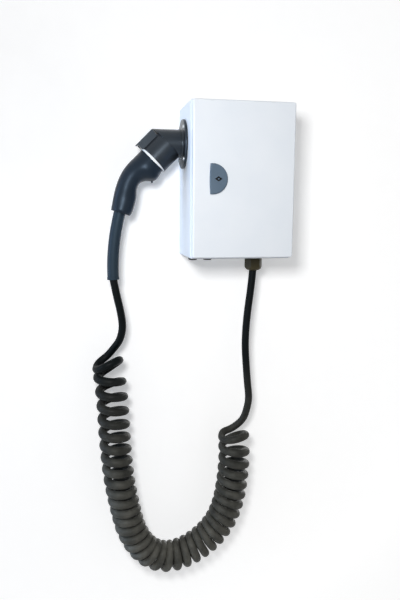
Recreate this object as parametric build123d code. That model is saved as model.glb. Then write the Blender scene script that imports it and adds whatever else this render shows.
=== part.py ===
from build123d import *
import os
from math import cos, pi, radians, sin, tan

# EV wallbox with a spiral charging cable. Millimetres. The wall face is at Y = 0, the door faces -Y
# and Z is up. The origin is the centre of the enclosure's back.

# Enclosure body, folded from sheet steel
BOX_WIDTH = 204.0
BOX_HEIGHT = 304.0
BOX_DEPTH = 160.0
SHEET = 1.5
BOX_EDGE_R = 4.0
RIM_BEND_R = 3.5
BACK_BEND_R = 3.0
RIM_WIDTH = 20.0
LIP_LENGTH = 10.0
WALL_HOLE_R = 4.2
WALL_HOLES_ACROSS = 150.0
WALL_HOLES_UP = 250.0

# Door and its foam gasket
DOOR_DEPTH = 16.0
DOOR_GAP = 4.0
DOOR_SIDE_INSET = 1.0
DOOR_END_INSET = 3.0
DOOR_EDGE_R = 3.0
GASKET_WIDTH = 8.0
GASKET_CLEARANCE = 0.3

# Concealed hinges on the right
HINGE_SPACING = 190.0
HINGE_INSET = 7.0
HINGE_FORWARD = 8.0
HINGE_LENGTH = 40.0
HINGE_PIN_R = 2.0
HINGE_PIN_STICKOUT = 1.0
HINGE_KNUCKLE_R = 4.0
HINGE_EAR = 3.0
HINGE_BASE = 2.0
HINGE_BASE_WIDTH = 10.0
HINGE_LEAN = 6.0
HINGE_SIDE_PLAY = 0.3
NOTCH_MARGIN = 2.0
NOTCH_CLEARANCE = 0.5
RUNNING_FIT = 0.05

# Quarter-turn lock at the left of the door
LOCK_INSET = 50.0
LOCK_Z = 2.0
LOCK_BARREL_R = 12.0
LOCK_CORE_R = 9.0
LOCK_BEHIND_RIM = 1.0
LOCK_HOLE_PLAY = 0.2
LOCK_NUT_FLATS = 30.0
LOCK_NUT_THICK = 5.0
HALF_MOON_R = 29.0
HALF_MOON_CENTRE = 11.0
HALF_MOON_STRAIGHT = 4.5
HALF_MOON_BULGE = 1.5
HALF_MOON_THICK = 4.5
HALF_MOON_BEVEL = 1.6
KEY_WIDTH = 15.0
KEY_HEIGHT = 10.0
KEY_DEPTH = 7.0
KEY_PIN_R = 1.7
CORE_RECESS = 0.3
CAM_REACH = 36.0
CAM_WIDTH = 18.0
CAM_THICK = 3.0
TANG = 8.0
CAM_SCREW_R = 2.5
CAM_SCREW_LENGTH = 9.0
CAM_SCREW_HEAD_R = 5.5
CAM_SCREW_HEAD = 3.0

# Mounting plate on welded studs
PLATE_WIDTH = 140.0
PLATE_HEIGHT = 240.0
PLATE_THICK = 2.0
PLATE_CHAMFER = 10.0
PLATE_STANDOFF = 10.5
STUDS_ACROSS = 124.0
STUDS_UP = 220.0
STUD_SHOULDER_R = 5.0
STUD_THREAD_R = 3.0
STUD_THREAD_LENGTH = 10.0
STUD_NUT_FLATS = 10.0
STUD_NUT_THICK = 5.0
THREAD_PLAY = 0.15

# Earth stud on the floor, between the cable entries
EARTH_X = 0.0
EARTH_FROM_WALL = 85.0
EARTH_STUD_LENGTH = 18.0

# Top-hat rails and the devices on them
RAIL_HEIGHT = 35.0
RAIL_DEPTH = 7.5
RAIL_CHANNEL = 25.0
RAIL_SHEET = 1.0
RAIL_LENGTH = 132.0
RAIL_SPACING = 116.0
RAIL_SCREW_R = 2.0
RAIL_SCREW_HEAD_R = 4.0
RAIL_SCREW_HEAD = 2.5
RAIL_SCREW_INSET = 4.0
RAIL_SCREW_LENGTH = 6.0
DEVICE_HEIGHT = 86.0
DEVICE_SHOULDER = 44.0
DEVICE_NOSE_HEIGHT = 45.0
DEVICE_NOSE_DEPTH = 60.0
DEVICE_FOOT = 3.5
DEVICE_CORNER = 2.0
CLIP_WIDTH = 12.0
CLIP_THICK = 3.0
CLIP_REACH = 4.0
DEVICE_ROW_START = -54.0
DEVICE_SPACE = 0.4
MODULE_PITCH = 18.0
BREAKER_MODULES = 4
CONTACTOR_MODULES = 2
CONTROLLER_MODULES = 4
TERMINAL_SCREW_R = 3.0
TERMINAL_SCREW_DEPTH = 6.0
TERMINAL_PITCH = 7.0
TERMINAL_HEIGHT = 46.0
TERMINAL_DEPTH = 42.0
TERMINAL_TOP = 22.0
LINE_TERMINALS = 3
END_STOP_WIDTH = 6.0
END_STOP_HEIGHT = 44.0
END_STOP_DEPTH = 30.0

# Breaker lever and test button
LEVER_OFFSET = 14.0
LEVER_SLOT_WIDTH = 22.0
LEVER_SLOT_HEIGHT = 30.0
LEVER_SLOT_DEPTH = 16.0
LEVER_HUB_R = 6.5
LEVER_HUB_SIDE_PLAY = 0.4
LEVER_AXLE_R = 2.0
LEVER_AXLE_HOLD = 2.0
LEVER_AXIS_DEPTH = 8.0
LEVER_REACH = 17.0
LEVER_THICK = 6.0
LEVER_WIDTH = 14.0
LEVER_REST_ANGLE = 30.0
BUTTON_OFFSET = -18.0
BUTTON_SIZE = 8.0
BUTTON_PLAY = 0.3
BUTTON_STANDS = 2.5
BUTTON_LENGTH = 8.0
BUTTON_TRAVEL = 2.0

# Underside: the holder, the gland and the cable hang in one plane, this far from the wall
HANG_DISTANCE = 62.0
GLAND_X = 48.0
GLAND_THREAD_R = 12.5
GLAND_HOLE_PLAY = 0.25
GLAND_FLATS = 33.0
GLAND_HEX = 7.0
GLAND_THREAD_LENGTH = 11.0
GLAND_STUB_R = 13.5
GLAND_STUB_LENGTH = 10.0
GLAND_BORE_R = 9.0
GLAND_NUT_SPACE = 0.5
GLAND_NUT_LENGTH = 23.5
GLAND_NUT_LIP = 5.5
GLAND_NUT_MOUTH_R = 9.0
GLAND_DOME = 11.0
GLAND_SEAL_R = 10.9
GLAND_SEAL_LENGTH = 15.0
LOCKNUT_THICK = 5.0
CABLE_ENTRY_RISE = 28.0
BLANK_X = (-83.0, -52.0)
BLANK_THREAD_R = 8.0
BLANK_THREAD_LENGTH = 10.0
BLANK_HEAD_R = 9.5
BLANK_HEAD = 8.0
BLANK_BEVEL = 2.0
BLANK_NUT_FLATS = 22.0

# Plug holder on the left side
HOLDER_Z = 75.0
HOLDER_GASKET = 1.0
FLANGE_R = 49.0
FLANGE_THICK = 4.0
FLANGE_BEVEL = 1.2
STUB_R = 28.5
STUB_WALL = 3.0
STUB_FILLET = 3.0
SAME_SIZE = 0.01
MOUTH_R = 31.5
MOUTH_WALL = 2.5
MOUTH_REACH = 63.0
MOUTH_DROP = 33.0
PLUG_ANGLE = 45.0
SOCKET_DEPTH = 39.0
SOCKET_FLOOR = 3.0
LUG_HEIGHT = 13.6
LUG_WIDTH = 24.0
LUG_OVERHANG = 1.9
LUG_SLOT_WIDTH = 14.0
LUG_SLOT_HEIGHT = 7.0
LUG_SLOT_DEPTH = 20.0
LUG_TOOTH_WIDTH = 8.0
LUG_TOOTH_THICK = 2.4
LUG_TOOTH_LENGTH = 3.4
HOLDER_SCREW_CIRCLE = 43.0
HOLDER_SCREW_R = 2.0
HOLDER_SCREW_LENGTH = 14.0
HOLDER_SCREW_HEAD_R = 3.8
HOLDER_SCREW_HEAD = 2.6
HOLDER_HOLE_PLAY = 0.3
HOLDER_NUT_FLATS = 7.0
HOLDER_NUT_THICK = 3.2

# Charging connector, resting in the holder
NOSE_PLAY = 0.5
NOSE_LENGTH = 37.0
NOSE_FLAT = 22.0
SPIGOT_R = 22.0
SPIGOT_LENGTH = 13.0
SPIGOT_PLAY = 0.1
CONTACT_DEPTH = 30.0
POWER_CONTACT_R = 4.0
SIGNAL_CONTACT_R = 2.0
POWER_CONTACTS = ((2.0, -16.0), (2.0, 0.0), (2.0, 16.0), (-12.0, -8.5), (-12.0, 8.5))
SIGNAL_CONTACTS = ((14.0, -8.5), (14.0, 8.5))
COLLAR_R = 31.0
COLLAR_THICK = 5.0
# the collar's lower face is a saddle, thickest a little to the lug's side of its middle
SADDLE_R = 141.0
SADDLE_SHIFT = 3.9
SADDLE_GAP = 0.2
BARREL_R = 30.3
# the barrel keeps its round section at these distances from the mouth, then the grip's sections follow
BARREL_RINGS = (0.0, 14.0, 27.0)
BARREL_UNDERSIDE = 41.0
NIB_OUT = 1.5
NIB_THICK = 3.0
NIB_WIDTH = 9.0
NIB_STANDS = 4.0
# grip sections: out and down from the mouth's centre, lean from straight down in degrees, half widths
GRIP_SECTIONS = (
    (36.0, 27.5, 37.5, 23.9, 23.9),
    (50.0, 43.9, 24.0, 20.5, 20.5),
    (55.8, 63.6, 12.0, 22.0, 19.5),
    (60.2, 84.9, 12.0, 22.5, 19.0),
)
GRIP_END = (68.4, 104.6, 18.2, 16.0)
SLEEVE_R = 12.0
SLEEVE_CUFF_R = 12.6
SLEEVE_CUFF_LENGTH = 5.0
SLEEVE_MIDDLE = (12.0, 62.0)
SLEEVE_DROP = (14.8, 136.0)

# Spiral charging cable: the hanging route as points across and up, in the hang plane
CABLE_R = 8.0
COIL_R = 35.5
UPPER_ROUTE = (
    (-243.0, -228.0), (-234.5, -264.0), (-229.5, -299.0), (-236.0, -328.0), (-248.0, -346.0),
    (-262.0, -364.0),
)
COIL_ROUTE = (
    (-264.0, -363.0), (-258.0, -405.0), (-253.0, -460.0), (-250.5, -520.0), (-247.0, -580.0),
    (-241.0, -638.0), (-230.0, -696.0), (-217.0, -753.0), (-187.0, -803.0), (-144.0, -824.0),
    (-95.0, -815.0), (-50.0, -787.0), (-18.0, -750.0), (0.0, -704.0), (8.0, -654.0), (12.0, -606.0),
    (11.0, -568.0), (10.0, -540.0),
)
LOWER_ROUTE = (
    (44.0, -222.0), (36.5, -278.0), (33.0, -336.0), (35.0, -374.0), (40.5, -436.0), (45.0, -466.0),
    (42.0, -494.0), (36.5, -522.0), (12.0, -543.0),
)
ROUTE_OVERLAP = 4.0
# share of the shorter run that each bend's arc may use
BEND_SHARE = 0.45

# Places worked out from the sizes above
side_x = BOX_WIDTH / 2
top_z = BOX_HEIGHT / 2
door_front = -BOX_DEPTH
door_back = door_front + DOOR_DEPTH
door_skin = door_front + SHEET
rim_front = door_back + DOOR_GAP
rim_back = rim_front + SHEET
lip_front = rim_front - LIP_LENGTH
lip_x = side_x - RIM_WIDTH
lip_z = top_z - RIM_WIDTH
pivot_x = side_x - HINGE_INSET
pivot_y = door_back - HINGE_FORWARD
lock_x = -side_x + LOCK_INSET
lock_face = door_front - HALF_MOON_THICK
cam_front = rim_back + LOCK_BEHIND_RIM
cam_back = cam_front + CAM_THICK
plate_back = -SHEET - PLATE_STANDOFF
plate_front = plate_back - PLATE_THICK
rail_front = plate_front - RAIL_DEPTH
hang_y = -HANG_DISTANCE
floor_z = -top_z
gland_nut_top = floor_z - GLAND_HEX - GLAND_NUT_SPACE
gland_nut_bottom = gland_nut_top - GLAND_NUT_LENGTH
seal_bottom = gland_nut_bottom + GLAND_NUT_LIP
flange_back = -side_x - HOLDER_GASKET
flange_face = flange_back - FLANGE_THICK
mouth_x = -side_x - MOUTH_REACH
mouth_z = HOLDER_Z - MOUTH_DROP

FRONT = (0, -1, 0)
BACK = (0, 1, 0)
LEFT = (-1, 0, 0)
RIGHT = (1, 0, 0)
UP = (0, 0, 1)
DOWN = (0, 0, -1)


def block(x, y, z):
    """A box between pairs of low and high values."""
    low = [min(pair) for pair in (x, y, z)]
    high = [max(pair) for pair in (x, y, z)]
    size = [b - a for a, b in zip(low, high)]
    centre = [(a + b) / 2 for a, b in zip(low, high)]
    return Pos(*centre) * Box(*size)


def rod(radius, start, direction, length):
    """A round bar from a start point along a direction."""
    flat_end = (Align.CENTER, Align.CENTER, Align.MIN)
    return Plane(origin=start, z_dir=direction) * Cylinder(radius, length, align=flat_end)


def hexagon(flats, start, direction, length):
    """A hexagonal bar from a start point along a direction, given its width across flats."""
    outline = Plane(origin=start, z_dir=direction) * RegularPolygon(flats / 2, 6, major_radius=False)
    return extrude(outline, length)


def corners(across, up):
    """The four corners of a rectangle round the origin, as X and Z."""
    return [(sx * across / 2, sz * up / 2) for sx in (-1, 1) for sz in (-1, 1)]


def rounded_pan(half_x, half_z, y_front, y_back, edge_r, front_r):
    """A block with rounded edges along Y and round its front."""
    pan = block((-half_x, half_x), (y_front, y_back), (-half_z, half_z))
    pan = fillet(pan.edges().filter_by(Axis.Y), edge_r)
    return fillet(pan.faces().sort_by(Axis.Y)[0].edges(), front_r)


def holder_screw_spots():
    """The four flange screws, as Y and Z."""
    step = HOLDER_SCREW_CIRCLE * sin(radians(45))
    return [(hang_y + sy * step, HOLDER_Z + sz * step) for sy in (-1, 1) for sz in (-1, 1)]


def enclosure_body():
    """Back and sides with a rim folded inwards and a lip folded forwards for the gasket."""
    shell = rounded_pan(side_x, top_z, rim_front, 0, BOX_EDGE_R, RIM_BEND_R)
    shell = fillet(shell.faces().sort_by(Axis.Y)[-1].edges(), BACK_BEND_R)
    inside = rounded_pan(
        side_x - SHEET, top_z - SHEET, rim_back, -SHEET, BOX_EDGE_R - SHEET, RIM_BEND_R - SHEET
    )
    shell -= fillet(inside.faces().sort_by(Axis.Y)[-1].edges(), BACK_BEND_R - SHEET)
    inside_x, inside_z = lip_x - SHEET, lip_z - SHEET
    lip = block((-lip_x, lip_x), (rim_back, lip_front), (-lip_z, lip_z))
    shell += lip
    shell -= block((-inside_x, inside_x), (rim_back, lip_front), (-inside_z, inside_z))
    for x, z in corners(WALL_HOLES_ACROSS, WALL_HOLES_UP):
        shell -= rod(WALL_HOLE_R, (x, 0, z), FRONT, SHEET)
    shell -= rod(GLAND_THREAD_R + GLAND_HOLE_PLAY, (GLAND_X, hang_y, floor_z), UP, SHEET)
    for x in BLANK_X:
        shell -= rod(BLANK_THREAD_R + GLAND_HOLE_PLAY, (x, hang_y, floor_z), UP, SHEET)
    for y, z in holder_screw_spots():
        shell -= rod(HOLDER_SCREW_R + HOLDER_HOLE_PLAY, (-side_x, y, z), RIGHT, SHEET)
    return shell


def door_panel():
    """A folded pan that overlaps the body's rim, with the lock's hole and a notch at each hinge."""
    half_x, half_z = side_x - DOOR_SIDE_INSET, top_z - DOOR_END_INSET
    pan = rounded_pan(half_x, half_z, door_front, door_back, DOOR_EDGE_R + SHEET, DOOR_EDGE_R)
    pan -= rounded_pan(half_x - SHEET, half_z - SHEET, door_skin, door_back, DOOR_EDGE_R, DOOR_EDGE_R - SHEET)
    pan -= rod(LOCK_BARREL_R + LOCK_HOLE_PLAY, (lock_x, door_front, LOCK_Z), BACK, SHEET)
    notch_half = HINGE_LENGTH / 2 + NOTCH_MARGIN
    notch_front = pivot_y - HINGE_KNUCKLE_R - NOTCH_CLEARANCE
    for z in (-HINGE_SPACING / 2, HINGE_SPACING / 2):
        pan -= block((half_x - SHEET, half_x), (notch_front, door_back), (z - notch_half, z + notch_half))
    return pan


def door_gasket():
    """A foam strip round the door's inside, where the body's lip presses on it."""
    reach = (GASKET_WIDTH - SHEET) / 2
    y = (door_skin, lip_front - GASKET_CLEARANCE)
    outer_x, outer_z = lip_x + reach, lip_z + reach
    inner_x, inner_z = outer_x - GASKET_WIDTH, outer_z - GASKET_WIDTH
    strip = block((-outer_x, outer_x), y, (-outer_z, outer_z))
    return strip - block((-inner_x, inner_x), y, (-inner_z, inner_z))


def hinge_bracket(z):
    """A base on the rim with two ears, which lean inwards so that the door's edge can swing past them."""
    half = HINGE_LENGTH / 2
    rim_step = rim_front - pivot_y
    base_right = HINGE_KNUCKLE_R - HINGE_LEAN
    base_left = base_right - HINGE_BASE_WIDTH
    bracket = block(
        (pivot_x + base_left, pivot_x + base_right), (rim_front - HINGE_BASE, rim_front), (z - half, z + half)
    )
    arm = [(-HINGE_KNUCKLE_R, 0), (HINGE_KNUCKLE_R, 0), (base_right, rim_step), (base_left, rim_step)]
    ear = Polygon(*arm, align=None) + Circle(HINGE_KNUCKLE_R) - Circle(HINGE_PIN_R + RUNNING_FIT)
    for start in (z - half, z + half - HINGE_EAR):
        bracket += extrude(Pos(pivot_x, pivot_y, start) * ear, HINGE_EAR)
    return bracket


def hinge_leaf(z):
    """A knuckle between the ears, on a foot that is welded to the door's inside."""
    half = HINGE_LENGTH / 2 - HINGE_EAR - HINGE_SIDE_PLAY
    foot_right = side_x - DOOR_SIDE_INSET - SHEET - DOOR_EDGE_R
    leaf = block((pivot_x - HINGE_KNUCKLE_R, foot_right), (door_skin, pivot_y), (z - half, z + half))
    knuckle_start = (pivot_x, pivot_y, z - half)
    leaf += rod(HINGE_KNUCKLE_R, knuckle_start, UP, 2 * half)
    return leaf - rod(HINGE_PIN_R + RUNNING_FIT, knuckle_start, UP, 2 * half)


def hinge_pin(z):
    half = HINGE_LENGTH / 2 + HINGE_PIN_STICKOUT
    return rod(HINGE_PIN_R, (pivot_x, pivot_y, z - half), UP, 2 * half)


def half_moon():
    """The lock plate: a half moon with an almost straight left side, bevelled round its front."""
    face = Plane(origin=(lock_x, door_front, LOCK_Z), x_dir=RIGHT, z_dir=FRONT)
    middle, r = -HALF_MOON_CENTRE, HALF_MOON_R
    left = middle - HALF_MOON_STRAIGHT
    outline = make_face([
        Line((left, r), (middle, r)),
        ThreePointArc((middle, r), (middle + r, 0), (middle, -r)),
        Line((middle, -r), (left, -r)),
        ThreePointArc((left, -r), (left - HALF_MOON_BULGE, 0), (left, r)),
    ])
    plate = extrude(face * outline, HALF_MOON_THICK)
    return chamfer(plate.faces().sort_by(Axis.Y)[0].edges(), HALF_MOON_BEVEL)


def lock_housing():
    """The half-moon plate with its barrel through the door, bored for the core."""
    barrel_end = cam_front
    housing = half_moon() + rod(LOCK_BARREL_R, (lock_x, door_front, LOCK_Z), BACK, barrel_end - door_front)
    return housing - rod(LOCK_CORE_R + RUNNING_FIT, (lock_x, lock_face, LOCK_Z), BACK, barrel_end - lock_face)


def lock_nut():
    nut = hexagon(LOCK_NUT_FLATS, (lock_x, door_skin, LOCK_Z), BACK, LOCK_NUT_THICK)
    return nut - rod(LOCK_BARREL_R + THREAD_PLAY, (lock_x, door_skin, LOCK_Z), BACK, LOCK_NUT_THICK)


def lock_core():
    """The core: a diamond recess round a pin for the key in front, a square tang for the cam behind."""
    front = lock_face + CORE_RECESS
    core = rod(LOCK_CORE_R, (lock_x, front, LOCK_Z), BACK, cam_front - front)
    face = Plane(origin=(lock_x, front, LOCK_Z), x_dir=RIGHT, z_dir=BACK)
    diamond = Polygon(
        (-KEY_WIDTH / 2, 0), (0, -KEY_HEIGHT / 2), (KEY_WIDTH / 2, 0), (0, KEY_HEIGHT / 2), align=None
    )
    core -= extrude(face * (diamond - Circle(KEY_PIN_R)), KEY_DEPTH)
    half = TANG / 2
    core += block((lock_x - half, lock_x + half), (cam_front, cam_back), (LOCK_Z - half, LOCK_Z + half))
    return core - rod(CAM_SCREW_R + THREAD_PLAY, (lock_x, cam_back, LOCK_Z), FRONT, CAM_SCREW_LENGTH)


def lock_cam():
    """A flat tongue, upright when unlocked, which turns behind the body's rim."""
    face = Plane(origin=(lock_x, cam_front, LOCK_Z), x_dir=LEFT, z_dir=BACK)
    straight = CAM_REACH - CAM_WIDTH / 2
    outline = Circle(CAM_WIDTH / 2) + Pos(0, straight / 2) * Rectangle(CAM_WIDTH, straight)
    outline += Pos(0, straight) * Circle(CAM_WIDTH / 2)
    hole = TANG + 2 * THREAD_PLAY
    return extrude(face * (outline - Rectangle(hole, hole)), CAM_THICK)


def cam_screw():
    head = rod(CAM_SCREW_HEAD_R, (lock_x, cam_back, LOCK_Z), BACK, CAM_SCREW_HEAD)
    return head + rod(CAM_SCREW_R, (lock_x, cam_back, LOCK_Z), FRONT, CAM_SCREW_LENGTH)


def mounting_plate():
    half_x, half_z = PLATE_WIDTH / 2, PLATE_HEIGHT / 2
    plate = block((-half_x, half_x), (plate_front, plate_back), (-half_z, half_z))
    plate = chamfer(plate.edges().filter_by(Axis.Y), PLATE_CHAMFER)
    for x, z in corners(STUDS_ACROSS, STUDS_UP):
        plate -= rod(STUD_THREAD_R + THREAD_PLAY, (x, plate_back, z), FRONT, PLATE_THICK)
    for x, z in rail_screw_spots():
        plate -= rod(RAIL_SCREW_R + THREAD_PLAY, (x, plate_back, z), FRONT, PLATE_THICK)
    return plate


def plate_stud(x, z):
    stud = rod(STUD_SHOULDER_R, (x, -SHEET, z), FRONT, PLATE_STANDOFF)
    return stud + rod(STUD_THREAD_R, (x, plate_back, z), FRONT, STUD_THREAD_LENGTH)


def plate_nut(x, z):
    nut = hexagon(STUD_NUT_FLATS, (x, plate_front, z), FRONT, STUD_NUT_THICK)
    return nut - rod(STUD_THREAD_R + THREAD_PLAY, (x, plate_front, z), FRONT, STUD_NUT_THICK)


earth_foot = (EARTH_X, -EARTH_FROM_WALL, floor_z + SHEET)


def earth_stud():
    return rod(STUD_THREAD_R, earth_foot, UP, EARTH_STUD_LENGTH)


def earth_nut():
    nut = hexagon(STUD_NUT_FLATS, earth_foot, UP, STUD_NUT_THICK)
    return nut - rod(STUD_THREAD_R + THREAD_PLAY, earth_foot, UP, STUD_NUT_THICK)


def rail_screw_spots():
    reach = RAIL_LENGTH / 2 - RAIL_SCREW_INSET
    return [(sx * reach, sz * RAIL_SPACING / 2) for sx in (-1, 1) for sz in (-1, 1)]


def din_rail(z):
    """A top-hat rail: a channel on the plate with two lips at its front, folded from strip."""
    half = RAIL_LENGTH / 2
    lips, channel = RAIL_HEIGHT / 2, RAIL_CHANNEL / 2
    rail = block((-half, half), (rail_front, rail_front + RAIL_SHEET), (z - lips, z + lips))
    rail += block((-half, half), (rail_front, plate_front), (z - channel, z + channel))
    bed = plate_front - RAIL_SHEET
    rail -= block(
        (-half, half), (rail_front, bed), (z - channel + RAIL_SHEET, z + channel - RAIL_SHEET)
    )
    for x, screw_z in rail_screw_spots():
        if abs(screw_z - z) < RAIL_HEIGHT:
            rail -= rod(RAIL_SCREW_R + THREAD_PLAY, (x, plate_front, z), FRONT, RAIL_SHEET)
    return rail


def rail_screw(x, z):
    bed = plate_front - RAIL_SHEET
    head = rod(RAIL_SCREW_HEAD_R, (x, bed, z), FRONT, RAIL_SCREW_HEAD)
    return head + rod(RAIL_SCREW_R, (x, bed, z), BACK, RAIL_SCREW_LENGTH)


def device_case(x, width, z, modules):
    """A rail device: a side profile with shoulders, nose and rail notch, then screw wells and a foot clip."""
    half, nose, notch = DEVICE_HEIGHT / 2, DEVICE_NOSE_HEIGHT / 2, RAIL_HEIGHT / 2 + THREAD_PLAY
    cut = DEVICE_CORNER
    upper = [
        (0, notch), (DEVICE_FOOT, notch), (DEVICE_FOOT, half - cut), (DEVICE_FOOT - cut, half),
        (cut - DEVICE_SHOULDER, half), (-DEVICE_SHOULDER, half - cut), (-DEVICE_SHOULDER, nose),
        (cut - DEVICE_NOSE_DEPTH, nose), (-DEVICE_NOSE_DEPTH, nose - cut),
    ]
    lower = [(y, -up) for y, up in reversed(upper)]
    side = Plane(origin=(x, rail_front, z), x_dir=BACK, z_dir=RIGHT)
    case = extrude(side * Polygon(*upper, *lower, align=None), width)
    well_z = (half + nose) / 2
    shoulder = rail_front - DEVICE_SHOULDER
    for i in range(modules):
        well_x = x + width * (i + 0.5) / modules
        for end in (-1, 1):
            case -= rod(TERMINAL_SCREW_R, (well_x, shoulder, z + end * well_z), BACK, TERMINAL_SCREW_DEPTH)
    middle = x + width / 2
    return case + block(
        (middle - CLIP_WIDTH / 2, middle + CLIP_WIDTH / 2),
        (rail_front - CLIP_THICK, rail_front),
        (z - half - CLIP_REACH, z - half + CLIP_REACH),
    )


breaker_x = DEVICE_ROW_START
breaker_width = BREAKER_MODULES * MODULE_PITCH
breaker_z = RAIL_SPACING / 2
contactor_x = breaker_x + breaker_width + DEVICE_SPACE
contactor_width = CONTACTOR_MODULES * MODULE_PITCH
controller_x = DEVICE_ROW_START
controller_width = CONTROLLER_MODULES * MODULE_PITCH
controller_z = -RAIL_SPACING / 2
terminals_x = controller_x + controller_width + DEVICE_SPACE
nose_front = rail_front - DEVICE_NOSE_DEPTH
lever_x = breaker_x + breaker_width / 2 + LEVER_OFFSET
lever_y = nose_front + LEVER_AXIS_DEPTH
button_x = breaker_x + breaker_width / 2 + BUTTON_OFFSET
button_front = nose_front - BUTTON_STANDS


def rccb_body():
    """The residual current breaker's case, with the lever's slot and axle and the test button's well."""
    case = device_case(breaker_x, breaker_width, breaker_z, BREAKER_MODULES)
    half_w, half_h = LEVER_SLOT_WIDTH / 2, LEVER_SLOT_HEIGHT / 2
    case -= block(
        (lever_x - half_w, lever_x + half_w),
        (nose_front, nose_front + LEVER_SLOT_DEPTH),
        (breaker_z - half_h, breaker_z + half_h),
    )
    axle = half_w + LEVER_AXLE_HOLD + LEVER_HUB_SIDE_PLAY
    case -= rod(LEVER_AXLE_R + RUNNING_FIT, (lever_x - axle, lever_y, breaker_z), RIGHT, 2 * axle)
    well = BUTTON_SIZE / 2 + BUTTON_PLAY
    floor = button_front + BUTTON_LENGTH + BUTTON_TRAVEL + BUTTON_PLAY
    return case - block(
        (button_x - well, button_x + well), (nose_front, floor), (breaker_z - well, breaker_z + well)
    )


def rccb_lever():
    """A hub on an axle with a flat thumb tab, tilted up when switched on."""
    half_hub = LEVER_SLOT_WIDTH / 2 - LEVER_HUB_SIDE_PLAY
    half_axle = LEVER_SLOT_WIDTH / 2 + LEVER_AXLE_HOLD
    lever = rod(LEVER_HUB_R, (-half_hub, 0, 0), RIGHT, 2 * half_hub)
    lever += rod(LEVER_AXLE_R, (-half_axle, 0, 0), RIGHT, 2 * half_axle)
    tab = block((-LEVER_WIDTH / 2, LEVER_WIDTH / 2), (-LEVER_REACH, 0), (-LEVER_THICK / 2, LEVER_THICK / 2))
    tab = fillet(tab.faces().sort_by(Axis.Y)[0].edges().filter_by(Axis.X), LEVER_THICK / 3)
    return Pos(lever_x, lever_y, breaker_z) * Rot(-LEVER_REST_ANGLE, 0, 0) * (lever + tab)


def rccb_test_button():
    half = BUTTON_SIZE / 2
    return block(
        (button_x - half, button_x + half),
        (button_front, button_front + BUTTON_LENGTH),
        (breaker_z - half, breaker_z + half),
    )


def contactor():
    return device_case(contactor_x, contactor_width, breaker_z, CONTACTOR_MODULES)


def charge_controller():
    return device_case(controller_x, controller_width, controller_z, 2 * CONTROLLER_MODULES)


def terminal_block(place):
    """One feed-through terminal: a wedge-shaped case with a screw well on each slope."""
    x = terminals_x + place * TERMINAL_PITCH
    half, top, notch = TERMINAL_HEIGHT / 2, TERMINAL_TOP / 2, RAIL_HEIGHT / 2 + THREAD_PLAY
    low, mid = DEVICE_FOOT, -TERMINAL_DEPTH / 2
    outline = Polygon(
        (low, -half), (low, -notch), (0, -notch), (0, notch), (low, notch), (low, half),
        (mid, half), (-TERMINAL_DEPTH, top), (-TERMINAL_DEPTH, -top), (mid, -half), align=None,
    )
    face = Plane(origin=(x, rail_front, controller_z), x_dir=BACK, z_dir=RIGHT)
    block_case = extrude(face * outline, TERMINAL_PITCH)
    well_z = (half + top) / 2
    for side in (-1, 1):
        start = (x + TERMINAL_PITCH / 2, rail_front - TERMINAL_DEPTH, controller_z + side * well_z)
        block_case -= rod(TERMINAL_PITCH / 3, start, BACK, TERMINAL_DEPTH / 2)
    return block_case


def end_stop(x, z):
    """A screw-on stop that keeps the devices from sliding along the rail."""
    half, notch = END_STOP_HEIGHT / 2, RAIL_HEIGHT / 2 + THREAD_PLAY
    width, foot = (x, x + END_STOP_WIDTH), rail_front + DEVICE_FOOT
    stop = block(width, (rail_front - END_STOP_DEPTH, foot), (z - half, z + half))
    return stop - block(width, (rail_front, foot), (z - notch, z + notch))


def end_stops():
    before = DEVICE_ROW_START - DEVICE_SPACE - END_STOP_WIDTH
    after_upper = contactor_x + contactor_width + DEVICE_SPACE
    after_lower = terminals_x + (LINE_TERMINALS + 2) * TERMINAL_PITCH + DEVICE_SPACE
    return [
        end_stop(before, breaker_z),
        end_stop(after_upper, breaker_z),
        end_stop(before, controller_z),
        end_stop(after_lower, controller_z),
    ]


def gland_body():
    """The gland's fixed half: a hexagon under the box, a thread through its floor and a stub for the nut."""
    start = (GLAND_X, hang_y, floor_z)
    body = hexagon(GLAND_FLATS, start, DOWN, GLAND_HEX)
    body += rod(GLAND_THREAD_R, start, UP, GLAND_THREAD_LENGTH)
    stub_end = floor_z - GLAND_HEX - GLAND_STUB_LENGTH
    body += rod(GLAND_STUB_R, (GLAND_X, hang_y, stub_end), UP, GLAND_STUB_LENGTH)
    bore = GLAND_STUB_LENGTH + GLAND_HEX + GLAND_THREAD_LENGTH
    body -= rod(GLAND_BORE_R, (GLAND_X, hang_y, stub_end), UP, bore)
    seat = seal_bottom + GLAND_SEAL_LENGTH - stub_end
    return body - rod(GLAND_SEAL_R + THREAD_PLAY, (GLAND_X, hang_y, stub_end), UP, seat)


def gland_nut():
    """The domed clamping nut: a hexagon rounded off below, hollow for the stub and the seal."""
    start = (GLAND_X, hang_y, gland_nut_bottom)
    corner_r = GLAND_FLATS / 2 / cos(radians(30))
    dome = rod(corner_r, start, UP, GLAND_NUT_LENGTH)
    dome = fillet(dome.edges().sort_by(Axis.Z)[0], GLAND_DOME)
    nut = hexagon(GLAND_FLATS, start, UP, GLAND_NUT_LENGTH) & dome
    nut -= rod(GLAND_NUT_MOUTH_R, start, UP, GLAND_NUT_LENGTH)
    nut -= rod(GLAND_SEAL_R + THREAD_PLAY, (GLAND_X, hang_y, seal_bottom), UP, GLAND_NUT_LENGTH)
    stub_end = floor_z - GLAND_HEX - GLAND_STUB_LENGTH
    return nut - rod(GLAND_STUB_R + THREAD_PLAY, (GLAND_X, hang_y, stub_end), UP, GLAND_NUT_LENGTH)


def gland_seal():
    start = (GLAND_X, hang_y, seal_bottom)
    hole = rod(CABLE_R + THREAD_PLAY, start, UP, GLAND_SEAL_LENGTH)
    return rod(GLAND_SEAL_R, start, UP, GLAND_SEAL_LENGTH) - hole


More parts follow.
